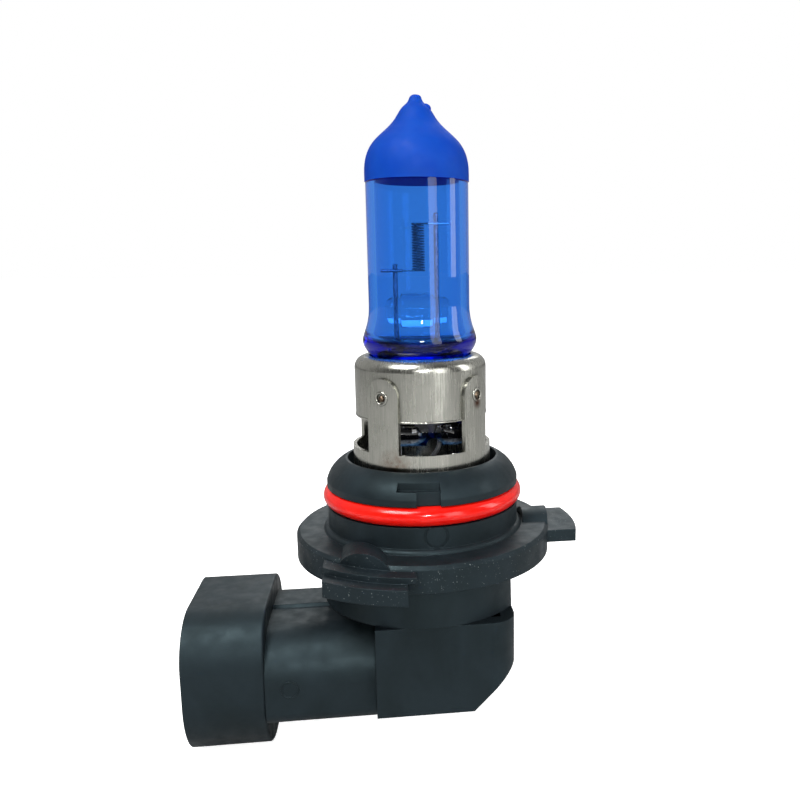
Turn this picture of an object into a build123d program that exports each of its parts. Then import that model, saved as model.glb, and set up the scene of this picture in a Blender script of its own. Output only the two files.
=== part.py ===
from build123d import *
import math
import os

os.makedirs("parts", exist_ok=True)

# Single-filament halogen headlamp bulb with a right-angle connector.
# Millimetres. +Z runs up the bulb axis towards the glass tip. The origin is the centre of the
# flange's upper face, the reference plane that seats in the lamp. The connector points to -X.

# Glass capsule
TUBE_R = 5.6
FOOT_R = 6.33
FOOT_Z = 21.0
WAIST_Z = 25.2
TUBE_TOP_Z = 39.4
TIP_Z = 47.5
TIP_R = 0.62
TIP_START_Z = 47.1
DOME_SHOULDER = (4.66, 42.5)
DOME_CONE = (2.2, 45.0)
DOME_NECK = (1.3, 46.3)
TIP_SLOPE = (-0.35, 1)
WALL = 0.95
GLASS_BASE_Z = 18.7
GLASS_BASE_R = 4.3
CAVITY_FLOOR_Z = 20.4
BORE_FLOOR_R = 3.4
BORE_FLARE = 0.5
BORE_FLOOR_SLOPE = (1, 0.1)
BORE_DOME = (3.7, 42.3)
BORE_APEX_SLOPE = (-1, 0.3)
BASE_SLOPE = (-1, -0.6)
CAVITY_TOP_Z = 44.3
COAT_START_Z = 38.5
COAT_T = 0.08

# Pinch seal under the capsule
PINCH_W = 11.0
PINCH_T = 3.4
PINCH_BOTTOM_Z = 9.4
PINCH_CORNER_R = 1.7
PINCH_NOTCH_R = 0.9
PINCH_NOTCH_X = 1.3

# Filament and its frame
FILAMENT_Z = 31.5
COIL_LENGTH = 5.0
COIL_R = 0.64
COIL_WIRE_R = 0.085
COIL_TURNS = 17.5
LEG_BEND_R = 0.2
SUPPORT_R = 0.27
LONG_X = 2.0
LONG_TOP_Z = 35.2
SHORT_X = -2.6
SHORT_TOP_Z = 29.7
SUPPORT_FOOT_Z = 17.2
CLAMP_R = 0.17
UPPER_CLAMP_X = (1.13, 3.44)
LOWER_CLAMP_X = (-4.15, -1.84)

# Glass bridge between the supports
BRIDGE_Z = 24.55
BRIDGE_R = 1.95
BRIDGE_END_R = 1.55
BRIDGE_X = (-3.75, 3.45)
BRIDGE_END_ROUND = 0.9
BRIDGE_SHOULDER = 0.45
BRIDGE_SHOULDER_ROUND = 0.35

# Foils and outer leads
FOIL_W = 2.2
FOIL_T = 0.06
FOIL_Z = (13.2, 18.2)
LEAD_R = 0.27
LEAD_TOP_Z = 14.4
LEAD_KNEE_Z = 8.8
LEAD_STRAIGHT_Z = 1.0
LEAD_BEND_R = 2.0

# Metal holder
SHEET_T = 0.4
CUP_R = 7.4
CUP_Z = (13.0, 19.7)
CUP_HOLE_R = 5.75
CUP_SHOULDER_R = 1.3
CUP_EDGE_R = 0.3
RING_TOP_Z = 9.66
WELL_FLOOR_Z = 5.9
TAB_W = 3.9
TAB_TOP_Z = 17.8
TAB_ANGLES = (-126, -42, 54, 138)
DIMPLE_Z = 15.7
DIMPLE_R = 0.55
DIMPLE_DEPTH = 0.12
CLIP_Z = 14.0
TONGUE_W = 5.0
TONGUE_TOP_Z = 17.4

# Lamp base: collar, seal boss, flange and skirt
CAVITY_R = 6.6
WELL_R = 8.5
LIP_TOP_Z = 8.1
LIP_FLAT_R = 8.75
LIP_SIDE_Z = 5.7
LIP_MIDDLE = (10.1, 7.15)
BOSS_R = 10.9
GROOVE_Z = (2.8, 5.0)
GROOVE_R = 9.25
BOSS_FILLET = 0.5
FLANGE_R = 14.5
FLANGE_T = 2.9
FLANGE_EDGE = 0.35
SKIRT_TOP_R = 11.2
SKIRT_R = 11.6
SKIRT_BOTTOM_Z = -8.0
NOTCH_W = 2.5
NOTCH_DEPTH = 0.55
STEP_R = 9.9
STEP_Z = 6.5
STEP_START = -83
STEP_ARC = 25
MARK_Z = 1.8
MARK_R = 1.3
MARK_LINE = 0.22
MARK_DEPTH = 0.15
MARK_ANGLE = -86

# Bayonet lugs and the half-round keys above them
LUG_R = 17.75
LUG_STEP_R = 16.2
LUG_TOP_Z = -0.45
LUG_STEP_Z = -1.1
LUG_BOTTOM_Z = -2.75
PLAIN_LUG_BOTTOM_Z = -1.85
LUG_W = 8.4
LUG_HEEL = 0.9
LUG_ROOT_R = 9.0
LUG_OFFSET = 6.7
KEY_CHORD = 4.6
KEY_HEIGHT = 1.1
KEY_INNER_R = 11.55

# O-ring
CORD_R = 1.05
CORD_Z = 3.9

# Right-angle body: cover, neck and connector shroud
COVER_LEFT_X = -5.9
COVER_RIGHT_X = 9.25
COVER_HALF_W = 11.2
COVER_BOTTOM_Z = -18.0
COVER_CHAMFER = 4.7
COVER_CORNER_R = 2.6
COVER_WALL = 1.6
NECK_HALF_W = 9.3
NECK_TOP_Z = -9.7
NECK_BOTTOM_Z = -19.3
NECK_TOP_CORNER = 5.0
NECK_BOTTOM_CORNER = 1.5
PARTING_RIB = 0.25
PLUG_X = -4.5
SHROUD_X = (-26.3, -17.7)
SHROUD_HALF_W = 9.24
SHROUD_TOP_Z = -7.37
SHROUD_BOTTOM_Z = -24.4
SHROUD_TOP_CORNER = 5.36
SHROUD_BOTTOM_CORNER = 8.0
SHROUD_WALL = 1.4
SHROUD_FLOOR_X = -18.9
SHROUD_EDGE = 0.3
PARTITION_X = -16.0
PASSAGE_HALF_W = 6.4
PASSAGE_Z = (-16.4, -12.2)
KEY_RIB_Y = 3.0
KEY_RIB_W = 1.0
KEY_RIB_H = 0.9

# Terminals
BLADE_W = 2.8
BLADE_T = 0.8
BLADE_Y = 3.5
BLADE_Z = -15.6
BLADE_TIP_X = -25.0
BLADE_TIP_CHAMFER = 0.25
RISER_X = -3.2
RISER_TOP_Z = -9.6
SEAL_Z = (-6.5, -3.5)


def finish(builder, name):
    """Label a finished sub-part and write it to its STEP file."""
    builder.part.label = name
    export_step(builder.part, f"parts/{name}.step")


def capsule_outline(shell, start_z):
    """Upper part of the capsule's profile, from the tube to the tip, pushed out by shell."""
    tube = TUBE_R + shell
    Line((0, start_z), (tube, start_z))
    Line((tube, start_z), (tube, TUBE_TOP_Z))
    Spline(
        (tube, TUBE_TOP_Z),
        *[(radius + shell, z) for radius, z in (DOME_SHOULDER, DOME_CONE, DOME_NECK)],
        (TIP_R + shell, TIP_START_Z),
        tangents=((0, 1), TIP_SLOPE),
    )
    Spline(
        (TIP_R + shell, TIP_START_Z), (0, TIP_Z + shell), tangents=(TIP_SLOPE, (-1, 0))
    )
    Line((0, TIP_Z + shell), (0, start_z))


def side_plane(x):
    """Plane across the connector at x: local x is world Y and local y is world Z."""
    return Plane(origin=(x, 0, 0), x_dir=(0, 1, 0), z_dir=(1, 0, 0))


def radial_plane(angle, radius, z=0):
    """Plane facing outwards at an angle round the bulb axis."""
    a = math.radians(angle)
    outward = (math.cos(a), math.sin(a), 0)
    origin = (radius * outward[0], radius * outward[1], z)
    return Plane(origin=origin, x_dir=(-outward[1], outward[0], 0), z_dir=outward)


def rounded_section(half_w, top_z, bottom_z, top_corner, bottom_corner):
    """Connector section in the current sketch, with its own corner radii above and below."""
    height = top_z - bottom_z
    with BuildSketch(Plane.XY, mode=Mode.PRIVATE) as section:
        Rectangle(2 * half_w, height)
        fillet(section.vertices().group_by(Axis.Y)[-1], top_corner)
        fillet(section.vertices().group_by(Axis.Y)[0], bottom_corner)
    with Locations((0, (top_z + bottom_z) / 2)):
        add(section.sketch)


def wire(radius, *points, bend=None):
    """Round wire through points, with bends of one radius where it turns."""
    with BuildPart() as strand:
        with BuildLine() as path:
            if bend:
                FilletPolyline(*points, radius=bend)
            else:
                Polyline(*points)
        with BuildSketch(Plane(origin=path.line @ 0, z_dir=path.line % 0)):
            Circle(radius)
        sweep()
    return strand.part


def solid_of_revolution():
    """Turn the pending half-profile into a solid about the bulb axis."""
    revolve(axis=Axis.Z)


# ---------------------------------------------------------------- filament and its frame
clamp_y = -(SUPPORT_R + CLAMP_R)
coil_bottom = FILAMENT_Z - COIL_LENGTH / 2
coil_top = FILAMENT_Z + COIL_LENGTH / 2
coil_pitch = COIL_LENGTH / COIL_TURNS
leg_rise = -clamp_y * coil_pitch / (2 * math.pi * COIL_R)
lower_leg_z = coil_bottom - leg_rise
upper_leg_z = coil_top + leg_rise

with BuildPart() as filament:
    with BuildLine() as filament_path:
        FilletPolyline(
            (LOWER_CLAMP_X[1], clamp_y, lower_leg_z),
            (COIL_R, clamp_y, lower_leg_z),
            (COIL_R, 0, coil_bottom),
            radius=LEG_BEND_R,
        )
        Helix(coil_pitch, COIL_LENGTH, COIL_R, center=(0, 0, coil_bottom))
        FilletPolyline(
            (-COIL_R, 0, coil_top),
            (-COIL_R, clamp_y, upper_leg_z),
            (UPPER_CLAMP_X[0], clamp_y, upper_leg_z),
            radius=LEG_BEND_R,
        )
    with BuildSketch(Plane(origin=filament_path.line @ 0, z_dir=filament_path.line % 0)):
        Circle(COIL_WIRE_R)
    sweep()
finish(filament, "filament")


def clamp_rod(x_range, z):
    """Short rod across the front of a support wire, where the filament's leg is held."""
    with BuildPart() as rod:
        with BuildSketch(Plane(origin=(x_range[0], clamp_y, z), z_dir=(1, 0, 0))):
            Circle(CLAMP_R)
        extrude(amount=x_range[1] - x_range[0])
    return rod


upper_clamp = clamp_rod(UPPER_CLAMP_X, upper_leg_z)
finish(upper_clamp, "upper_filament_clamp")
lower_clamp = clamp_rod(LOWER_CLAMP_X, lower_leg_z)
finish(lower_clamp, "lower_filament_clamp")


def support_wire(x, top_z):
    """Straight support from the pinch seal up to the filament, with a rounded top."""
    with BuildPart() as support:
        with BuildSketch(Plane(origin=(x, 0, SUPPORT_FOOT_Z))):
            Circle(SUPPORT_R)
        extrude(amount=top_z - SUPPORT_FOOT_Z)
        fillet(support.edges().sort_by(Axis.Z)[-1], SUPPORT_R / 2)
    return support


long_support = support_wire(LONG_X, LONG_TOP_Z)
finish(long_support, "long_support_wire")
short_support = support_wire(SHORT_X, SHORT_TOP_Z)
finish(short_support, "short_support_wire")

with BuildPart() as glass_bridge:
    with BuildSketch(side_plane(BRIDGE_X[0])):
        with Locations((0, BRIDGE_Z)):
            Circle(BRIDGE_END_R)
    extrude(amount=BRIDGE_X[1] - BRIDGE_X[0])
    fillet(glass_bridge.edges().filter_by(GeomType.CIRCLE), BRIDGE_END_ROUND)
    with BuildSketch(side_plane(SHORT_X + BRIDGE_SHOULDER)):
        with Locations((0, BRIDGE_Z)):
            Circle(BRIDGE_R)
    extrude(amount=LONG_X - SHORT_X - 2 * BRIDGE_SHOULDER)
    barrel_rims = glass_bridge.edges().filter_by(GeomType.CIRCLE).sort_by(SortBy.RADIUS)[-2:]
    fillet(barrel_rims, BRIDGE_SHOULDER_ROUND)
    add([long_support.part, short_support.part], mode=Mode.SUBTRACT)
finish(glass_bridge, "glass_bridge")

# ---------------------------------------------------------------- foils and outer leads
foil_y = SUPPORT_R + FOIL_T / 2


def moly_foil(x):
    """Thin foil welded against the back of a support wire and of its outer lead."""
    with BuildPart() as foil:
        with BuildSketch(Plane(origin=(x, foil_y, FOIL_Z[0]))):
            Rectangle(FOIL_W, FOIL_T)
        extrude(amount=FOIL_Z[1] - FOIL_Z[0])
    return foil


foils = {"moly_foil_left": moly_foil(SHORT_X), "moly_foil_right": moly_foil(LONG_X)}
for foil_name, foil_part in foils.items():
    finish(foil_part, foil_name)

lead_foot_x = RISER_X + LEAD_R
lead_foot_z = RISER_TOP_Z - BLADE_W


def outer_lead(x, y):
    """Lead from a foil, through the pinch and the seal, down to its terminal at y."""
    top = (x, 0, LEAD_TOP_Z)
    knee = (x, 0, LEAD_KNEE_Z)
    upper = (lead_foot_x, y, LEAD_STRAIGHT_Z)
    foot = (lead_foot_x, y, lead_foot_z)
    with BuildPart() as lead:
        add(wire(LEAD_R, top, knee, upper, foot, bend=LEAD_BEND_R))
    return lead


leads = {
    "outer_lead_left": outer_lead(SHORT_X, -BLADE_Y),
    "outer_lead_right": outer_lead(LONG_X, BLADE_Y),
}
for lead_name, lead_part in leads.items():
    finish(lead_part, lead_name)

# ---------------------------------------------------------------- glass capsule
bore_r = TUBE_R - WALL

with BuildPart() as capsule_bore:
    with BuildSketch(Plane.XZ):
        with BuildLine():
            Line((0, CAVITY_FLOOR_Z), (BORE_FLOOR_R, CAVITY_FLOOR_Z))
            Spline(
                (BORE_FLOOR_R, CAVITY_FLOOR_Z),
                (bore_r + BORE_FLARE, FOOT_Z + BORE_FLARE),
                (bore_r, WAIST_Z),
                tangents=(BORE_FLOOR_SLOPE, (0, 1)),
            )
            Line((bore_r, WAIST_Z), (bore_r, TUBE_TOP_Z))
            Spline(
                (bore_r, TUBE_TOP_Z),
                BORE_DOME,
                (0, CAVITY_TOP_Z),
                tangents=((0, 1), BORE_APEX_SLOPE),
            )
            Line((0, CAVITY_TOP_Z), (0, CAVITY_FLOOR_Z))
        make_face()
    solid_of_revolution()

with BuildPart() as glass_envelope:
    with BuildSketch(Plane.XZ):
        with BuildLine():
            capsule_outline(0, WAIST_Z)
        make_face()
    solid_of_revolution()
    with BuildSketch(Plane.XZ):
        with BuildLine():
            Line((0, WAIST_Z), (TUBE_R, WAIST_Z))
            Spline(
                (TUBE_R, WAIST_Z),
                (FOOT_R, FOOT_Z),
                (GLASS_BASE_R, GLASS_BASE_Z),
                tangents=((0, -1), BASE_SLOPE),
            )
            Line((GLASS_BASE_R, GLASS_BASE_Z), (0, GLASS_BASE_Z))
            Line((0, GLASS_BASE_Z), (0, WAIST_Z))
        make_face()
    solid_of_revolution()
    add(capsule_bore.part, mode=Mode.SUBTRACT)
    with BuildSketch(Plane.XZ) as pinch_face:
        with Locations((0, (PINCH_BOTTOM_Z + GLASS_BASE_Z) / 2)):
            Rectangle(PINCH_W, GLASS_BASE_Z - PINCH_BOTTOM_Z)
        fillet(pinch_face.vertices().group_by(Axis.Y)[0], PINCH_CORNER_R)
        with Locations((PINCH_NOTCH_X, PINCH_BOTTOM_Z)):
            Circle(PINCH_NOTCH_R, mode=Mode.SUBTRACT)
    extrude(amount=PINCH_T / 2, both=True)
    add([long_support.part, short_support.part], mode=Mode.SUBTRACT)
    add([foil.part for foil in foils.values()], mode=Mode.SUBTRACT)
    add([lead.part for lead in leads.values()], mode=Mode.SUBTRACT)
finish(glass_envelope, "glass_envelope")

with BuildPart() as tip_coating:
    with BuildSketch(Plane.XZ):
        with BuildLine():
            capsule_outline(COAT_T, COAT_START_Z)
        make_face()
    solid_of_revolution()
    with BuildSketch(Plane.XZ):
        with BuildLine():
            capsule_outline(0, WAIST_Z)
        make_face()
    revolve(axis=Axis.Z, mode=Mode.SUBTRACT)
finish(tip_coating, "tip_coating")

# ---------------------------------------------------------------- metal holder
with BuildPart() as holder_cup:
    with BuildSketch(Plane.XY.offset(CUP_Z[0])):
        Circle(CUP_R)
    extrude(amount=CUP_Z[1] - CUP_Z[0])
    fillet(holder_cup.edges().sort_by(Axis.Z)[-1], CUP_SHOULDER_R)
    offset(amount=-SHEET_T, openings=holder_cup.faces().sort_by(Axis.Z)[0])
    with Locations((0, 0, CUP_Z[1])):
        Hole(CUP_HOLE_R, depth=2 * SHEET_T)
    rim = holder_cup.edges().group_by(Axis.Z)[0].sort_by(SortBy.RADIUS)[-1]
    fillet(rim, CUP_EDGE_R)
finish(holder_cup, "holder_cup")

ring_r = CUP_R + SHEET_T

with BuildPart() as ring_blank:
    with BuildSketch(Plane.XY.offset(WELL_FLOOR_Z)):
        Circle(2 * ring_r)
    extrude(amount=RING_TOP_Z - WELL_FLOOR_Z)
    for tab_angle in TAB_ANGLES:
        with BuildSketch(radial_plane(tab_angle, 0)):
            with Locations((0, (TAB_TOP_Z + WELL_FLOOR_Z) / 2)):
                SlotOverall(TAB_TOP_Z - WELL_FLOOR_Z, TAB_W, rotation=90)
        extrude(amount=2 * ring_r)

with BuildPart() as holder_ring:
    with BuildSketch(Plane.XY.offset(WELL_FLOOR_Z)):
        Circle(ring_r)
        Circle(CUP_R, mode=Mode.SUBTRACT)
    extrude(amount=TAB_TOP_Z + SHEET_T - WELL_FLOOR_Z)
    add(ring_blank.part, mode=Mode.INTERSECT)
    for tab_angle in TAB_ANGLES:
        with BuildSketch(radial_plane(tab_angle, ring_r + SHEET_T, DIMPLE_Z)):
            Circle(DIMPLE_R)
        extrude(amount=-(SHEET_T + DIMPLE_DEPTH), mode=Mode.SUBTRACT)
finish(holder_ring, "holder_ring")

with BuildPart() as pinch_clip:
    with BuildSketch(Plane.XY.offset(CLIP_Z)):
        Circle(CUP_R - SHEET_T)
        Rectangle(PINCH_W, PINCH_T, mode=Mode.SUBTRACT)
    extrude(amount=SHEET_T)
    with BuildSketch(Plane.XY.offset(CLIP_Z)):
        with Locations((0, (PINCH_T + SHEET_T) / 2), (0, -(PINCH_T + SHEET_T) / 2)):
            Rectangle(TONGUE_W, SHEET_T)
    extrude(amount=TONGUE_TOP_Z - CLIP_Z)
finish(pinch_clip, "pinch_clip")


# ---------------------------------------------------------------- lamp base
def lug_block(offset, *steps):
    """Lug of stacked steps that points along +X, offset sideways, with its half-round key."""
    chord_r = (KEY_CHORD**2 / 4 + KEY_HEIGHT**2) / (2 * KEY_HEIGHT)
    with BuildPart() as lug:
        with BuildSketch(side_plane(0)):
            with Locations((offset, KEY_HEIGHT - chord_r)):
                Circle(chord_r)
            with Locations((offset, -chord_r - FLANGE_T / 2)):
                Rectangle(2 * chord_r, 2 * chord_r, mode=Mode.SUBTRACT)
        extrude(amount=LUG_R)
        with BuildSketch(Plane.XY.offset(-FLANGE_T)):
            Circle(FLANGE_R)
            Circle(KEY_INNER_R, mode=Mode.SUBTRACT)
        extrude(amount=FLANGE_T + KEY_HEIGHT, mode=Mode.INTERSECT)
        for radius, width, top_z, bottom_z in steps:
            with BuildSketch(Plane.XY.offset(bottom_z)):
                with Locations((LUG_ROOT_R, offset - LUG_W / 2)):
                    Rectangle(LUG_R, width, align=Align.MIN)
                Circle(radius, mode=Mode.INTERSECT)
            extrude(amount=top_z - bottom_z)
    return lug.part


stepped_lug = (
    (LUG_STEP_R, LUG_W + LUG_HEEL, LUG_TOP_Z, LUG_STEP_Z),
    (LUG_R, LUG_W, LUG_STEP_Z, LUG_BOTTOM_Z),
)
plain_lug = ((LUG_R, LUG_W, LUG_TOP_Z, PLAIN_LUG_BOTTOM_Z),)
lugs = {
    0: lug_block(0, *plain_lug),
    -90: lug_block(-LUG_OFFSET, *stepped_lug),
    90: lug_block(LUG_OFFSET, *stepped_lug),
}

with BuildPart() as lamp_base:
    with BuildSketch(Plane.XZ):
        with BuildLine():
            Polyline(
                (CAVITY_R, SKIRT_BOTTOM_Z),
                (CAVITY_R, WELL_FLOOR_Z),
                (WELL_R, WELL_FLOOR_Z),
                (WELL_R, LIP_TOP_Z),
                (LIP_FLAT_R, LIP_TOP_Z),
            )
            ThreePointArc((LIP_FLAT_R, LIP_TOP_Z), LIP_MIDDLE, (BOSS_R, LIP_SIDE_Z))
            Polyline(
                (BOSS_R, LIP_SIDE_Z),
                (BOSS_R, GROOVE_Z[1]),
                (GROOVE_R, GROOVE_Z[1]),
                (GROOVE_R, GROOVE_Z[0]),
                (BOSS_R, GROOVE_Z[0]),
                (BOSS_R, BOSS_FILLET),
            )
            RadiusArc((BOSS_R, BOSS_FILLET), (BOSS_R + BOSS_FILLET, 0), BOSS_FILLET)
            Polyline(
                (BOSS_R + BOSS_FILLET, 0),
                (FLANGE_R - FLANGE_EDGE, 0),
                (FLANGE_R, -FLANGE_EDGE),
                (FLANGE_R, -FLANGE_T),
                (SKIRT_TOP_R, -FLANGE_T),
                (SKIRT_R, SKIRT_BOTTOM_Z),
                (CAVITY_R, SKIRT_BOTTOM_Z),
            )
        make_face()
    solid_of_revolution()
    with BuildSketch(Plane.XY.offset(SKIRT_BOTTOM_Z)):
        with Locations((COVER_RIGHT_X + SKIRT_R / 2, 0)):
            Rectangle(SKIRT_R, 2 * SKIRT_R)
    extrude(amount=-FLANGE_T - SKIRT_BOTTOM_Z, mode=Mode.SUBTRACT)
    for lug_angle, lug in lugs.items():
        with Locations(Location((0, 0, 0), (0, 0, lug_angle))):
            add(lug)
    with BuildSketch(Plane.XZ.offset(BOSS_R - NOTCH_DEPTH)):
        with Locations((0, (LIP_TOP_Z + GROOVE_Z[1]) / 2)):
            Rectangle(NOTCH_W, LIP_TOP_Z - GROOVE_Z[1])
    extrude(amount=NOTCH_DEPTH, mode=Mode.SUBTRACT)
    step_plane = Plane.XZ.rotated((0, 0, STEP_START))
    with BuildSketch(step_plane):
        with Locations((STEP_R, STEP_Z)):
            Rectangle(BOSS_R - STEP_R, LIP_TOP_Z - STEP_Z, align=(Align.MIN, Align.MIN))
    revolve(axis=Axis.Z, revolution_arc=-STEP_ARC, mode=Mode.SUBTRACT)
    with BuildSketch(radial_plane(MARK_ANGLE, BOSS_R - MARK_DEPTH, MARK_Z)):
        Circle(MARK_R)
        Circle(MARK_R - MARK_LINE, mode=Mode.SUBTRACT)
    extrude(amount=2 * MARK_DEPTH, mode=Mode.SUBTRACT)
finish(lamp_base, "lamp_base")

with BuildPart() as o_ring:
    with Locations((0, 0, CORD_Z)):
        Torus(GROOVE_R + CORD_R, CORD_R)
finish(o_ring, "o_ring")

with BuildPart() as base_seal:
    with BuildSketch(Plane.XY.offset(SEAL_Z[0])):
        Circle(CAVITY_R)
    extrude(amount=SEAL_Z[1] - SEAL_Z[0])
    add([lead.part for lead in leads.values()], mode=Mode.SUBTRACT)
finish(base_seal, "base_seal")


# ---------------------------------------------------------------- terminals and body
def terminal(y):
    """Stamped blade that turns up behind the connector to meet its lead."""
    with BuildPart() as blade:
        with BuildSketch(Plane(origin=(BLADE_TIP_X, y, BLADE_Z), x_dir=(0, 1, 0), z_dir=(1, 0, 0))):
            Rectangle(BLADE_W, BLADE_T)
        extrude(amount=RISER_X - BLADE_TIP_X)
        tip = blade.faces().sort_by(Axis.X)[0]
        chamfer(tip.edges(), BLADE_TIP_CHAMFER)
        with BuildSketch(Plane(origin=(RISER_X - BLADE_T / 2, y, BLADE_Z - BLADE_T / 2))):
            Rectangle(BLADE_T, BLADE_W)
        extrude(amount=RISER_TOP_Z - BLADE_Z + BLADE_T / 2)
    return blade


terminals = {"terminal_left": terminal(-BLADE_Y), "terminal_right": terminal(BLADE_Y)}
for terminal_name, terminal_part in terminals.items():
    finish(terminal_part, terminal_name)

with BuildPart() as connector_housing:
    with BuildSketch(side_plane(SHROUD_X[0])):
        rounded_section(
            SHROUD_HALF_W, SHROUD_TOP_Z, SHROUD_BOTTOM_Z, SHROUD_TOP_CORNER, SHROUD_BOTTOM_CORNER
        )
    extrude(amount=SHROUD_X[1] - SHROUD_X[0])
    shroud_back = connector_housing.faces().sort_by(Axis.X)[-1]
    fillet(shroud_back.edges(), SHROUD_EDGE)
    with BuildSketch(side_plane(SHROUD_X[0])):
        rounded_section(
            SHROUD_HALF_W - SHROUD_WALL,
            SHROUD_TOP_Z - SHROUD_WALL,
            SHROUD_BOTTOM_Z + SHROUD_WALL,
            SHROUD_TOP_CORNER - SHROUD_WALL,
            SHROUD_BOTTOM_CORNER - SHROUD_WALL,
        )
    extrude(amount=SHROUD_FLOOR_X - SHROUD_X[0], mode=Mode.SUBTRACT)
    with BuildSketch(side_plane(SHROUD_X[0] + SHROUD_WALL)):
        with Locations(
            (-KEY_RIB_Y, SHROUD_TOP_Z - SHROUD_WALL), (KEY_RIB_Y, SHROUD_TOP_Z - SHROUD_WALL)
        ):
            Rectangle(KEY_RIB_W, 2 * KEY_RIB_H)
    extrude(amount=SHROUD_FLOOR_X - SHROUD_X[0] - SHROUD_WALL)
    with BuildSketch(side_plane(SHROUD_X[1])):
        rounded_section(NECK_HALF_W, NECK_TOP_Z, NECK_BOTTOM_Z, NECK_TOP_CORNER, NECK_BOTTOM_CORNER)
    extrude(amount=COVER_LEFT_X - SHROUD_X[1])
    with BuildSketch(side_plane(SHROUD_X[1])):
        with Locations((0, NECK_TOP_Z)):
            Rectangle(2 * PARTING_RIB, 2 * PARTING_RIB, rotation=45)
    extrude(amount=COVER_LEFT_X - SHROUD_X[1])
    cover_floor_z = COVER_BOTTOM_Z + COVER_WALL
    with BuildSketch(side_plane(COVER_LEFT_X)):
        with Locations((0, (SKIRT_BOTTOM_Z + cover_floor_z) / 2)):
            Rectangle(2 * (COVER_HALF_W - COVER_WALL), SKIRT_BOTTOM_Z - cover_floor_z)
    extrude(amount=PLUG_X - COVER_LEFT_X)
    with BuildSketch(side_plane(PARTITION_X)):
        with Locations((0, (PASSAGE_Z[0] + PASSAGE_Z[1]) / 2)):
            Rectangle(2 * PASSAGE_HALF_W, PASSAGE_Z[1] - PASSAGE_Z[0])
    extrude(amount=PLUG_X - PARTITION_X, mode=Mode.SUBTRACT)
    add([part.part for part in terminals.values()], mode=Mode.SUBTRACT)
finish(connector_housing, "connector_housing")


def cover_profile(inset):
    """Side view of the cover, shrunk by inset on its right and bottom sides."""
    right = COVER_RIGHT_X - inset
    bottom = COVER_BOTTOM_Z + inset
    leg = COVER_CHAMFER - inset * (2 - math.sqrt(2))
    Polyline(
        (COVER_LEFT_X, SKIRT_BOTTOM_Z),
        (right, SKIRT_BOTTOM_Z),
        (right, bottom + leg),
        (right - leg, bottom),
        (COVER_LEFT_X, bottom),
        close=True,
    )


with BuildPart() as end_cover:
    with BuildSketch(Plane.XZ):
        with BuildLine():
            cover_profile(0)
        make_face()
    extrude(amount=COVER_HALF_W, both=True)
    upright = end_cover.edges().filter_by(Axis.Z).group_by(Axis.X)[-1]
    fillet(upright, COVER_CORNER_R)
    with BuildSketch(Plane.XZ):
        with BuildLine():
            cover_profile(COVER_WALL)
        make_face()
    extrude(amount=COVER_HALF_W - COVER_WALL, both=True, mode=Mode.SUBTRACT)
finish(end_cover, "end_cover")
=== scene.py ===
import bpy
import math
from mathutils import Matrix, Vector


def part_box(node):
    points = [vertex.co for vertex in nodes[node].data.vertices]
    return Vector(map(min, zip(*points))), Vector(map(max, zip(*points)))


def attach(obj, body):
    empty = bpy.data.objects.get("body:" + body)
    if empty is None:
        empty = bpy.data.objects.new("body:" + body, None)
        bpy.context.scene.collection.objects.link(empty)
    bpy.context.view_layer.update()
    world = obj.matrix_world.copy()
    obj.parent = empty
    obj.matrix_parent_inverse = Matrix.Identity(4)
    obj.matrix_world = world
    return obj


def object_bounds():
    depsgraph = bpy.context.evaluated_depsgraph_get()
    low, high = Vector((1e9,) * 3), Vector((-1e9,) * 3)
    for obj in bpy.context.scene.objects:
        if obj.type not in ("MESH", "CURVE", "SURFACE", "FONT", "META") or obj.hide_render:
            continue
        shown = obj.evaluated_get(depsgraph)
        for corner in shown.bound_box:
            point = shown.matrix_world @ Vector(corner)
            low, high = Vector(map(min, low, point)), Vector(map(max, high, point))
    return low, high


MM = 0.001

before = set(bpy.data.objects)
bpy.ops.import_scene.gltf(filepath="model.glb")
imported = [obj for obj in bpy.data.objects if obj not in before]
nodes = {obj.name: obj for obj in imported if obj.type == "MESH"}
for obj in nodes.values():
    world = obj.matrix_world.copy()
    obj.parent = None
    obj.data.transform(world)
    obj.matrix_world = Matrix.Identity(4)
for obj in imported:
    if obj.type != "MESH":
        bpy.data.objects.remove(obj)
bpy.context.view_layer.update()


# Node helpers


def srgb(red, green, blue):
    """Linear colour from 0-255 display values."""
    def linear(value):
        share = value / 255
        return share / 12.92 if share <= 0.04045 else ((share + 0.055) / 1.055) ** 2.4
    return (linear(red), linear(green), linear(blue), 1.0)


class Graph:
    """One node tree, emptied, and short ways to fill it."""

    def __init__(self, tree):
        self.tree = tree
        tree.nodes.clear()

    def node(self, kind, **settings):
        made = self.tree.nodes.new(kind)
        for key, value in settings.items():
            setattr(made, key, value)
        return made

    def link(self, source, target):
        self.tree.links.new(source, target)

    def fill(self, sockets, values):
        """Each value is a constant or another node's output."""
        for socket, value in zip(sockets, values):
            if isinstance(value, (int, float, tuple)):
                socket.default_value = value
            else:
                self.link(value, socket)

    def span(self, source, low, high, start=0.35, end=0.65):
        """The source's values from start to end, spread over low to high."""
        spread = self.node("ShaderNodeMapRange")
        spread.inputs["From Min"].default_value = start
        spread.inputs["From Max"].default_value = end
        spread.inputs["To Min"].default_value = low
        spread.inputs["To Max"].default_value = high
        self.link(source, spread.inputs["Value"])
        return spread.outputs[0]

    def math(self, operation, *values):
        made = self.node("ShaderNodeMath", operation=operation)
        self.fill(made.inputs, values)
        return made.outputs[0]

    def blend(self, share, first, second):
        """Two shaders, going from the first to the second as the share goes from 0 to 1."""
        made = self.node("ShaderNodeMixShader")
        self.fill(made.inputs, (share, first, second))
        return made.outputs[0]


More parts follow.
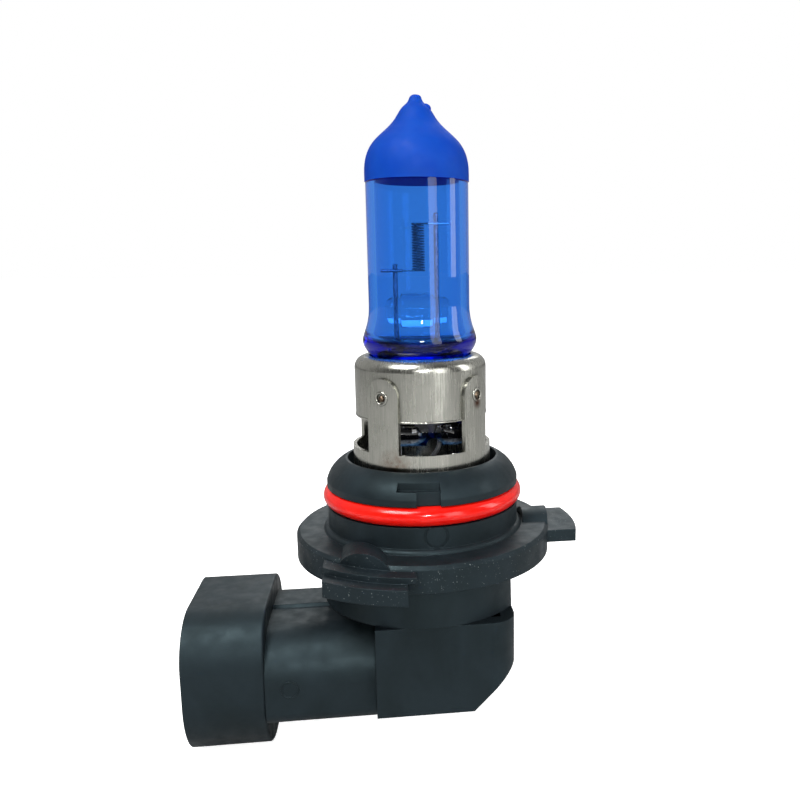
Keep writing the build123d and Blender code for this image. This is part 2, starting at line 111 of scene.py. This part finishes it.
class Shader(Graph):
    """A procedural material: one Principled shader and the textures that feed it."""

    def __init__(self, name, **sockets):
        self.material = bpy.data.materials.new(name)
        self.material.use_nodes = True
        super().__init__(self.material.node_tree)
        self.output = self.node("ShaderNodeOutputMaterial")
        self.surface = self.node("ShaderNodeBsdfPrincipled")
        self.show(self.surface.outputs[0])
        self.place = self.node("ShaderNodeTexCoord").outputs["Object"]
        for key, value in sockets.items():
            self.surface.inputs[key.replace("_", " ")].default_value = value

    def show(self, shader):
        self.link(shader, self.output.inputs["Surface"])

    def feed(self, key, source):
        self.link(source, self.surface.inputs[key])

    def noise(self, size, detail=3.0, roughness=0.5, stretch=(1, 1, 1), distortion=0.0):
        """Noise with features of this size in mm, longer by stretch along each axis."""
        mapping = self.node("ShaderNodeMapping")
        mapping.inputs["Scale"].default_value = [1 / (size * MM * s) for s in stretch]
        self.link(self.place, mapping.inputs["Vector"])
        texture = self.node("ShaderNodeTexNoise")
        texture.inputs["Scale"].default_value = 1.0
        texture.inputs["Detail"].default_value = detail
        texture.inputs["Roughness"].default_value = roughness
        texture.inputs["Distortion"].default_value = distortion
        self.link(mapping.outputs[0], texture.inputs["Vector"])
        return texture.outputs["Fac"]

    def mix(self, share, first, second):
        """A colour between two colours or colour sources."""
        made = self.node("ShaderNodeMix", data_type="RGBA")
        self.link(share, made.inputs["Factor"])
        ends = [s for s in made.inputs if s.name in ("A", "B") and s.type == "RGBA"]
        self.fill(ends, (first, second))
        return [s for s in made.outputs if s.type == "RGBA"][0]

    def bump(self, height, depth, strength=1.0, below=None):
        """Relief of this depth in mm, on top of another relief."""
        made = self.node("ShaderNodeBump")
        made.inputs["Strength"].default_value = strength
        made.inputs["Distance"].default_value = depth * MM
        self.link(height, made.inputs["Height"])
        if below is not None:
            self.link(below, made.inputs["Normal"])
        self.feed("Normal", made.outputs[0])
        return made.outputs[0]

    def near(self, point, inner, outer):
        """1 within inner mm of a point of the object, falling to 0 at outer mm."""
        away = self.node("ShaderNodeVectorMath", operation="DISTANCE")
        away.inputs[1].default_value = [c * MM for c in point]
        self.link(self.place, away.inputs[0])
        return self.span(away.outputs["Value"], 1.0, 0.0, inner * MM, outer * MM)

    def axis(self, name):
        """One coordinate of the place on the object, in metres."""
        split = self.node("ShaderNodeSeparateXYZ")
        self.link(self.place, split.inputs[0])
        return split.outputs[name]


# Materials

GLASS_IOR = 1.47
DEPTH_TINT = (0.20, 0.62, 0.93, 1.0)
DEPTH_DENSITY = 1100.0

# Places on the bulb in mm
STAIN_POINT = (-3.4, -7.0, 8.4)
BURN_POINT = (5.8, -5.2, 14.8)
# Where the painted glints on the flange's outer edge sit
GLINT_RADII = (13.7, 14.4)
GLINT_HEIGHTS = (-3.6, -3.0)

# Reach of the painted shade in the steel's creases, in mm
CREASE_SHADE_REACH = 0.9
EDGE_ROUNDING = 0.14


def tinted_glass(name, face_tint):
    """Glass tinted at each face. Shadow rays take a lighter tint, so light reaches the inside."""
    glass = Shader(
        name, Base_Color=face_tint, Roughness=0.0, IOR=GLASS_IOR, Transmission_Weight=1.0
    )
    through = glass.node("ShaderNodeBsdfTransparent")
    through.inputs["Color"].default_value = [math.sqrt(math.sqrt(c)) for c in face_tint]
    shadow_ray = glass.node("ShaderNodeLightPath").outputs["Is Shadow Ray"]
    glass.show(glass.blend(shadow_ray, glass.surface.outputs[0], through.outputs[0]))
    return glass


def make_blue_glass():
    """The capsule's glass, tinted through its depth as well."""
    glass = tinted_glass("blue_glass", (0.36, 0.60, 0.855, 1.0))
    absorb = glass.node("ShaderNodeVolumeAbsorption")
    absorb.inputs["Color"].default_value = DEPTH_TINT
    absorb.inputs["Density"].default_value = DEPTH_DENSITY
    glass.link(absorb.outputs[0], glass.output.inputs["Volume"])
    glass.bump(glass.noise(6.0, detail=2.0), 0.01, 0.3)
    return glass


def make_clear_glass():
    """The bridge's glass."""
    glass = tinted_glass("clear_glass", (0.93, 0.95, 0.96, 1.0))
    glass.bump(glass.noise(1.5, detail=2.0), 0.01, 0.4)
    return glass


def make_plastic():
    """Grained black plastic, its reflections tinted teal as a painted sheen, and pale specks on the
    flange's rim as painted glints.
    """
    # Painted reflection: the specular tint colours the plastic's reflections teal, standing in for
    # teal light from above.
    plastic = Shader("moulded_plastic", Specular_IOR_Level=0.5, Specular_Tint=srgb(190, 222, 230))
    flow = plastic.noise(5.0, detail=4.0, stretch=(1, 1, 2.2), distortion=0.6)
    tone = plastic.mix(plastic.span(flow, 0.0, 1.0), srgb(17, 22, 25), srgb(26, 33, 38))
    # Painted highlight: pale specks along the flange's outer edge stand in for glints on it.
    glint_grain = plastic.span(plastic.noise(0.16, detail=2.0), 0.0, 1.0, 0.69, 0.76)
    squares = [plastic.math("MULTIPLY", c, c) for c in (plastic.axis("X"), plastic.axis("Y"))]
    radius = plastic.math("SQRT", plastic.math("ADD", *squares))
    outside = plastic.span(radius, 0.0, 1.0, *(r * MM for r in GLINT_RADII))
    above = plastic.span(plastic.axis("Z"), 0.0, 1.0, *(z * MM for z in GLINT_HEIGHTS))
    painted_rim_glints = plastic.math("MULTIPLY", glint_grain, plastic.math("MULTIPLY", outside, above))
    plastic.feed("Base Color", plastic.mix(painted_rim_glints, tone, srgb(150, 160, 160)))
    plastic.feed("Roughness", plastic.span(plastic.noise(1.6, detail=5.0), 0.42, 0.58))
    edges = plastic.node("ShaderNodeBevel", samples=4)
    edges.inputs["Radius"].default_value = EDGE_ROUNDING * MM
    coarse = plastic.bump(plastic.noise(0.9, detail=2.0), 0.02, 0.4, below=edges.outputs[0])
    plastic.bump(plastic.noise(0.14, detail=3.0, roughness=0.6), 0.010, 0.8, below=coarse)
    return plastic


def make_steel():
    """Drawn satin steel, with painted shade in its creases, a brown stain and a burn below a weld.
    """
    steel = Shader("brushed_steel", Metallic=1.0)
    streak = steel.noise(0.14, detail=4.0, roughness=0.6, stretch=(1, 1, 30))
    cloud = steel.noise(2.2, detail=3.0)
    tone = steel.mix(steel.span(streak, 0.0, 1.0), srgb(176, 177, 168), srgb(204, 203, 194))
    # Painted shade: ambient occlusion darkens the steel in its creases and recesses, such as where
    # the tabs meet the cup.
    crease = steel.node("ShaderNodeAmbientOcclusion", samples=8)
    crease.inputs["Distance"].default_value = CREASE_SHADE_REACH * MM
    painted_crease_shade = steel.span(crease.outputs["AO"], 0.75, 0.0, 0.35, 0.95)
    tone = steel.mix(painted_crease_shade, tone, srgb(64, 66, 62))
    stain = steel.near(STAIN_POINT, 0.3, 2.2)
    patch = steel.math("MULTIPLY", stain, steel.span(steel.noise(0.6), 0.2, 0.9))
    tone = steel.mix(patch, tone, srgb(120, 86, 60))
    tone = steel.mix(steel.near(BURN_POINT, 0.15, 0.8), tone, srgb(92, 60, 44))
    steel.feed("Base Color", tone)
    rough = steel.math("ADD", steel.span(streak, 0.17, 0.24), steel.span(cloud, 0.0, 0.08))
    steel.feed("Roughness", rough)
    dents = steel.bump(steel.noise(3.0, detail=2.0), 0.06, 0.5)
    steel.bump(streak, 0.0007, 0.6, below=dents)
    return steel


def make_wire(name, dark, light, roughness):
    """Metal with fine drawing lines along the bulb's axis."""
    wire = Shader(name, Metallic=1.0)
    drawn = wire.noise(0.05, detail=3.0, stretch=(1, 1, 12))
    wire.feed("Base Color", wire.mix(wire.span(drawn, 0.0, 1.0), dark, light))
    wire.feed("Roughness", wire.span(wire.noise(0.3), roughness, roughness + 0.15))
    wire.bump(drawn, 0.003, 0.7)
    return wire


def make_paint():
    """The tip's blue coat, half painted surface and half translucent film."""
    paint = Shader("blue_tip_paint", Specular_IOR_Level=0.3)
    pool = paint.noise(2.4, detail=3.0)
    tone = paint.mix(paint.span(pool, 0.0, 1.0), srgb(4, 90, 214), srgb(14, 100, 222))
    paint.feed("Base Color", tone)
    paint.feed("Roughness", paint.span(paint.noise(0.8), 0.50, 0.64))
    paint.bump(paint.noise(1.3, detail=2.0), 0.012, 0.6)
    film = paint.node("ShaderNodeBsdfTranslucent")
    film.inputs["Color"].default_value = srgb(10, 100, 230)
    paint.show(paint.blend(0.5, paint.surface.outputs[0], film.outputs[0]))
    return paint


def make_rubber():
    """The O-ring's glossy red silicone."""
    rubber = Shader(
        "silicone_seal",
        Specular_IOR_Level=0.55,
        Subsurface_Weight=0.25,
        Subsurface_Scale=0.3 * MM,
        Subsurface_Radius=(1.0, 0.25, 0.15),
    )
    cloud = rubber.noise(1.8, detail=3.0)
    tone = rubber.mix(rubber.span(cloud, 0.0, 1.0), srgb(240, 16, 8), srgb(255, 30, 18))
    rubber.feed("Base Color", tone)
    rubber.feed("Roughness", rubber.span(rubber.noise(0.5, detail=4.0), 0.12, 0.24))
    rubber.bump(rubber.noise(0.4, detail=3.0), 0.006, 0.6)
    return rubber


def make_potting():
    """The dark compound that seals the base."""
    resin = Shader("potting_resin")
    cloud = resin.noise(1.2, detail=4.0)
    tone = resin.mix(resin.span(cloud, 0.0, 1.0), srgb(20, 18, 17), srgb(44, 40, 37))
    resin.feed("Base Color", tone)
    resin.feed("Roughness", resin.span(cloud, 0.35, 0.6))
    resin.bump(cloud, 0.06, 0.8)
    return resin


def make_weld():
    """Heat-stained weld nugget."""
    weld = Shader("weld_nugget", Metallic=1.0)
    cloud = weld.noise(0.35, detail=4.0)
    tone = weld.mix(weld.span(cloud, 0.0, 1.0), srgb(70, 52, 40), srgb(170, 150, 128))
    weld.feed("Base Color", tone)
    weld.feed("Roughness", weld.span(cloud, 0.25, 0.5))
    weld.bump(cloud, 0.05, 0.9)
    return weld


def make_fused_glass(highlight_start, highlight_end):
    """Fused glass, near black as painted shade, and pale at the bottom as a painted highlight:
    fully pale at the first height in mm and below, and gone from the second.
    """
    fused = Shader("fused_glass", Roughness=0.05, Specular_IOR_Level=0.9, Coat_Weight=0.6)
    # Painted highlight: a pale band at the bottom and pale spots stand in for glints on the lobes;
    # the near-black rest is painted shade.
    highlight_band = fused.span(fused.axis("Z"), 1.0, 0.0, highlight_start * MM, highlight_end * MM)
    grain = fused.span(fused.noise(0.5, detail=4.0), 0.3, 1.0)
    glint_spots = fused.span(fused.noise(0.7, detail=4.0, distortion=1.2), 0.0, 0.7, 0.62, 0.72)
    pale = fused.math("MAXIMUM", fused.math("MULTIPLY", highlight_band, grain), glint_spots)
    fused.feed("Base Color", fused.mix(pale, srgb(7, 8, 13), srgb(226, 236, 250)))
    fused.bump(fused.noise(1.4, detail=2.0), 0.05, 0.6)
    return fused


LOOKS = {
    "blue_glass": make_blue_glass(),
    "blue_coat": make_paint(),
    "clear_glass": make_clear_glass(),
    "tungsten": make_wire("tungsten", srgb(62, 62, 70), srgb(150, 150, 158), 0.25),
    "molybdenum": make_wire("molybdenum", srgb(96, 92, 108), srgb(176, 174, 186), 0.28),
    "holder_steel": make_steel(),
    "seal_rubber": make_rubber(),
    "potting": make_potting(),
    "black_plastic": make_plastic(),
    "terminal_brass": make_wire("terminal_brass", srgb(176, 138, 70), srgb(222, 186, 110), 0.2),
}
for node in nodes.values():
    for index, old in enumerate(node.data.materials):
        node.data.materials[index] = LOOKS[old.name.split(".")[0]].material

# Painted light: a paler copy of the wire metal, so the upper clamp and the outer leads look lit.
lit_copy_metal = make_wire("painted_lit_clamp", srgb(226, 228, 232), srgb(250, 250, 252), 0.4)
for bright_node in ("upper_filament_clamp", "outer_lead_left", "outer_lead_right"):
    nodes[bright_node].data.materials[0] = lit_copy_metal.material


# Mesh helpers, all in mm

SECTION_POINTS = 12
BLOB_RINGS = 24
BLOB_SEGMENTS = 40


def piece(name, look, verts, faces, smooth=True):
    """A mesh piece of the bulb that rides on its one body."""
    mesh = bpy.data.meshes.new(name)
    mesh.from_pydata([[c * MM for c in v] for v in verts], [], faces)
    mesh.update()
    made = bpy.data.objects.new(name, mesh)
    bpy.context.scene.collection.objects.link(made)
    mesh.materials.append(look.material)
    for polygon in mesh.polygons:
        polygon.use_smooth = smooth
    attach(made, "root")


def round_section(half_w, half_h):
    """Oval section of a ring, as (out, up) points."""
    turn = 2 * math.pi / SECTION_POINTS
    angles = [turn * k for k in range(SECTION_POINTS)]
    return [(half_w * math.cos(angle), half_h * math.sin(angle)) for angle in angles]


def rim(name, look, centre, normal, radius, section, segments=64):
    """A moulded or rolled ring of this radius round a point."""
    axis = Vector(normal).normalized()
    across = axis.orthogonal().normalized()
    other = axis.cross(across)
    count = len(section)
    verts = []
    faces = []
    for i in range(segments):
        angle = 2 * math.pi * i / segments
        side = across * math.cos(angle) + other * math.sin(angle)
        origin = Vector(centre) + side * radius
        verts.extend(origin + side * a + axis * b for a, b in section)
        j = (i + 1) % segments
        for k in range(count):
            m = (k + 1) % count
            faces.append((i * count + k, j * count + k, j * count + m, i * count + m))
    piece(name, look, verts, faces)


def blob(name, look, centre, half, power, wobble):
    """A rounded lump, round at power 1 and boxier below it, and slightly uneven."""
    def bulge(value):
        return math.copysign(abs(value) ** power, value)
    verts = []
    for i in range(1, BLOB_RINGS):
        tilt = math.pi * i / BLOB_RINGS - math.pi / 2
        for k in range(BLOB_SEGMENTS):
            turn = 2 * math.pi * k / BLOB_SEGMENTS
            grow = 1 + wobble * math.sin(3 * turn + 2 * tilt) * math.cos(tilt)
            reach = bulge(math.cos(tilt)) * grow
            verts.append((
                centre[0] + half[0] * reach * bulge(math.cos(turn)),
                centre[1] + half[1] * reach * bulge(math.sin(turn)),
                centre[2] + half[2] * bulge(math.sin(tilt)),
            ))
    faces = []
    for i in range(BLOB_RINGS - 2):
        for k in range(BLOB_SEGMENTS):
            m = (k + 1) % BLOB_SEGMENTS
            a, b = i * BLOB_SEGMENTS, (i + 1) * BLOB_SEGMENTS
            faces.append((a + k, a + m, b + m, b + k))
    low_pole = len(verts)
    high_pole = low_pole + 1
    verts.append((centre[0], centre[1], centre[2] - half[2]))
    verts.append((centre[0], centre[1], centre[2] + half[2]))
    last = (BLOB_RINGS - 2) * BLOB_SEGMENTS
    for k in range(BLOB_SEGMENTS):
        m = (k + 1) % BLOB_SEGMENTS
        faces.append((low_pole, m, k))
        faces.append((high_pole, last + k, last + m))
    piece(name, look, verts, faces)


# Spot welds of the ring's tabs, and the cup's rolled lower edge

TAB_ANGLES = (-126, -42, 54, 138)
WELD_Z = 15.7
WELD_R = 0.66
WELD_SECTION = (0.15, 0.12)
WELD_SINK = 0.02
NUGGET_R = 0.42
NUGGET_SINK = 0.30
ROLL_HALF_W = 0.11
ROLL_HALF_H = 0.13
ROLL_SINK = 0.06


def add_holder_details():
    steel = LOOKS["holder_steel"]
    weld = make_weld()
    ring_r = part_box("holder_ring")[1].x / MM
    cup_low, cup_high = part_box("holder_cup")
    weld_height = Vector((0, 0, WELD_Z))
    for number, angle in enumerate(TAB_ANGLES):
        out = Vector((math.cos(math.radians(angle)), math.sin(math.radians(angle)), 0))
        face = out * (ring_r - WELD_SINK) + weld_height
        section = round_section(*WELD_SECTION)
        rim(f"weld_rim_{number}", steel, face, out, WELD_R, section)
        core = out * (ring_r - NUGGET_SINK) + weld_height
        blob(f"weld_core_{number}", weld, core, (NUGGET_R,) * 3, 1.0, 0.12)
    rim(
        "cup_rolled_edge", steel,
        (0, 0, cup_low.z / MM + ROLL_HALF_H), (0, 0, 1), cup_high.x / MM - ROLL_SINK,
        round_section(ROLL_HALF_W, ROLL_HALF_H), segments=128,
    )


# Fused glass at the bottom of the pinch

LOBES = {"left": (-2.35, 3.1), "right": (3.45, 2.05)}  # centre's x and half width
LOBE_HALF_Y = 2.0
LOBE_HALF_Z = 1.6
LOBE_RISE = 1.45
# Heights above the pinch's bottom where the painted highlight is full and where it ends
HIGHLIGHT_RISE = (0.15, 0.85)


def add_pinch_lobes():
    pinch_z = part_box("glass_envelope")[0].z / MM
    fused = make_fused_glass(*(pinch_z + rise for rise in HIGHLIGHT_RISE))
    for side, (lobe_x, half_x) in LOBES.items():
        centre = (lobe_x, 0, pinch_z + LOBE_RISE)
        half = (half_x, LOBE_HALF_Y, LOBE_HALF_Z)
        blob(f"pinch_lobe_{side}", fused, centre, half, 0.7, 0.04)


# Dark plate behind the pinch, a sheet of painted shade for the dark inside of the holder

PLATE_HALF_W = 6.0
PLATE_LOW_Z = 9.5
PLATE_HIGH_Z = 13.9
PLATE_BORDER = 0.4
PLATE_Y = 2.35
PLATE_THICK = 0.3
PLATE_BOW = 0.35
PLATE_COLUMNS = 24


def add_shade_plate():
    heights = (PLATE_LOW_Z, PLATE_LOW_Z + PLATE_BORDER, PLATE_HIGH_Z - PLATE_BORDER, PLATE_HIGH_Z)
    bands = len(heights) - 1
    row = PLATE_COLUMNS + 1
    layer = len(heights) * row
    verts = []
    for depth in (0.0, PLATE_THICK):
        for z in heights:
            for i in range(row):
                x = PLATE_HALF_W * (2 * i / PLATE_COLUMNS - 1)
                bow = PLATE_BOW * (1 - (x / PLATE_HALF_W) ** 2)
                verts.append((x, PLATE_Y + depth + bow, z))
    faces = []
    for j in range(bands):
        for i in range(PLATE_COLUMNS):
            a = j * row + i
            b = layer + a
            faces.append((a, a + 1, a + row + 1, a + row))
            faces.append((b, b + row, b + row + 1, b + 1))
    for i in range(PLATE_COLUMNS):
        top = bands * row + i
        faces.append((i, layer + i, layer + i + 1, i + 1))
        faces.append((top, top + 1, layer + top + 1, layer + top))
    for j in range(bands):
        left = j * row
        right = left + PLATE_COLUMNS
        faces.append((left, left + row, layer + left + row, layer + left))
        faces.append((right, layer + right, layer + right + row, right + row))
    # Painted shade: a dark sheet that darkens the window behind the pinch.
    shade_plate_steel = make_wire("painted_shade_steel", srgb(34, 34, 38), srgb(70, 70, 76), 0.3)
    piece("pinch_shade_plate", shade_plate_steel, verts, faces, smooth=False)


# Scar and bead where the capsule was sealed off at the tip

SCAR_PLACE = (0.98, -0.3, 46.0)
SCAR_HALF = (0.66, 0.62, 0.62)
BEAD_PLACE = (0.10, -0.05, 47.12)
BEAD_HALF = (0.56, 0.54, 0.44)


def add_tip_scar():
    paint = LOOKS["blue_coat"]
    blob("tip_scar", paint, SCAR_PLACE, SCAR_HALF, 0.95, 0.08)
    blob("tip_bead", paint, BEAD_PLACE, BEAD_HALF, 0.95, 0.06)


# Ejector mark on the neck's near side

MARK_PLACE = (-15.07, -9.3, -15.0)
MARK_R = 0.9
MARK_SECTION = (0.09, 0.05)


def add_ejector_mark():
    rim(
        "neck_ejector_mark", LOOKS["black_plastic"],
        MARK_PLACE, (0, -1, 0), MARK_R, round_section(*MARK_SECTION),
    )


add_holder_details()
add_pinch_lobes()
add_shade_plate()
add_tip_scar()
add_ejector_mark()


# Studio

FLOOR_HALF = 3.0
FLOOR_GAP = 0.05
PAPER_GLOW = 0.8
FLOOR_GREY = 0.45
ROOM_DIM = 0.07
ROOM_BRIGHT = 0.38
ROOM_FADE = (-0.5, 0.4)  # Y of the ray's direction


def make_paper():
    """Glowing paper for the camera, white through glass, and grey to every other ray."""
    paper = Shader("studio_paper", Roughness=0.9, Specular_IOR_Level=0.1)
    tone = paper.mix(paper.noise(0.8), srgb(246, 246, 246), srgb(250, 250, 250))
    paper.feed("Base Color", tone)
    glow = paper.node("ShaderNodeEmission")
    glow.inputs["Strength"].default_value = PAPER_GLOW
    lit = paper.node("ShaderNodeAddShader")
    paper.fill(lit.inputs, (paper.surface.outputs[0], glow.outputs[0]))
    white = paper.node("ShaderNodeEmission")
    white.inputs["Strength"].default_value = 1.0
    dim = paper.node("ShaderNodeBsdfDiffuse")
    dim.inputs["Color"].default_value = (FLOOR_GREY, FLOOR_GREY, FLOOR_GREY, 1.0)
    rays = paper.node("ShaderNodeLightPath")
    glass_share = paper.math("MINIMUM", rays.outputs["Transmission Depth"], 1.0)
    unseen = paper.blend(glass_share, dim.outputs[0], white.outputs[0])
    paper.show(paper.blend(rays.outputs["Is Camera Ray"], unseen, lit.outputs[0]))
    return paper


def add_floor():
    corners = [(-1, -1), (1, -1), (1, 1), (-1, 1)]
    mesh = bpy.data.meshes.new("studio_floor")
    mesh.from_pydata([(FLOOR_HALF * x, FLOOR_HALF * y, 0) for x, y in corners], [], [(0, 1, 2, 3)])
    floor = bpy.data.objects.new("studio_floor", mesh)
    floor.location = (0, 0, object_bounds()[0].z - FLOOR_GAP * MM)
    bpy.context.scene.collection.objects.link(floor)
    mesh.materials.append(make_paper().material)


def add_world():
    """White for the camera and through glass. Other rays see a room, dimmest towards -Y."""
    world = bpy.data.worlds.new("studio_room")
    bpy.context.scene.world = world
    world.use_nodes = True
    sky = Graph(world.node_tree)
    split = sky.node("ShaderNodeSeparateXYZ")
    sky.link(sky.node("ShaderNodeTexCoord").outputs["Generated"], split.inputs[0])
    room = sky.node("ShaderNodeBackground")
    room.inputs["Color"].default_value = (1, 1, 1, 1)
    strength = sky.span(split.outputs["Y"], ROOM_DIM, ROOM_BRIGHT, *ROOM_FADE)
    sky.link(strength, room.inputs["Strength"])
    white = sky.node("ShaderNodeBackground")
    white.inputs["Color"].default_value = (1, 1, 1, 1)
    white.inputs["Strength"].default_value = 1.0
    rays = sky.node("ShaderNodeLightPath")
    seen = sky.node("ShaderNodeMath", operation="MAXIMUM", use_clamp=True)
    sky.fill(seen.inputs, (rays.outputs["Is Camera Ray"], rays.outputs["Transmission Depth"]))
    shown = sky.blend(seen.outputs[0], room.outputs[0], white.outputs[0])
    sky.link(shown, sky.node("ShaderNodeOutputWorld").inputs["Surface"])


def softbox(name, place, aim, width, height, power):
    """A rectangular studio light, its place, aim and size in mm."""
    data = bpy.data.lights.new(name, "AREA")
    data.shape = "RECTANGLE"
    data.size = width * MM
    data.size_y = height * MM
    data.energy = power
    lamp = bpy.data.objects.new(name, data)
    lamp.location = Vector(place) * MM
    lamp.rotation_mode = "QUATERNION"
    lamp.rotation_quaternion = (Vector(aim) - Vector(place)).to_track_quat("-Z", "Y")
    bpy.context.scene.collection.objects.link(lamp)


add_floor()
add_world()
softbox("key_light", (-200, -220, 420), (0, 0, 5), 240, 240, 2.1)
softbox("strip_light", (190, -320, 110), (0, 0, 15), 130, 260, 0.30)
softbox("fill_light", (420, -60, 160), (0, 0, 5), 120, 300, 0.42)
softbox("front_light", (10, -300, 120), (0, 0, 10), 24, 24, 0.35)
softbox("back_light", (60, 380, 330), (0, 0, 10), 320, 320, 0.8)


# Camera

CAMERA_PLACE = Vector((-4.801, -90.243, 29.940)) * MM
CAMERA_TARGET = Vector((7.14, 2.6, 13.72)) * MM
CAMERA_ROLL = math.radians(-0.39)
CAMERA_LENS = 36.05
CAMERA_SHIFT_X = -0.10035


def add_camera():
    lens = bpy.data.cameras.new("photo_camera")
    lens.lens = CAMERA_LENS
    lens.sensor_width = 36.0
    lens.shift_x = CAMERA_SHIFT_X
    lens.clip_start = 0.001
    lens.clip_end = 20.0
    camera = bpy.data.objects.new("photo_camera", lens)
    look = (CAMERA_TARGET - CAMERA_PLACE).to_track_quat("-Z", "Y").to_matrix()
    turned = look @ Matrix.Rotation(CAMERA_ROLL, 3, "Z")
    camera.matrix_world = Matrix.Translation(CAMERA_PLACE) @ turned.to_4x4()
    bpy.context.scene.collection.objects.link(camera)
    bpy.context.scene.camera = camera


add_camera()
bpy.context.scene.view_settings.view_transform = "Standard"
cycles = bpy.context.scene.cycles
cycles.max_bounces = 20
cycles.glossy_bounces = 12
cycles.transmission_bounces = 20
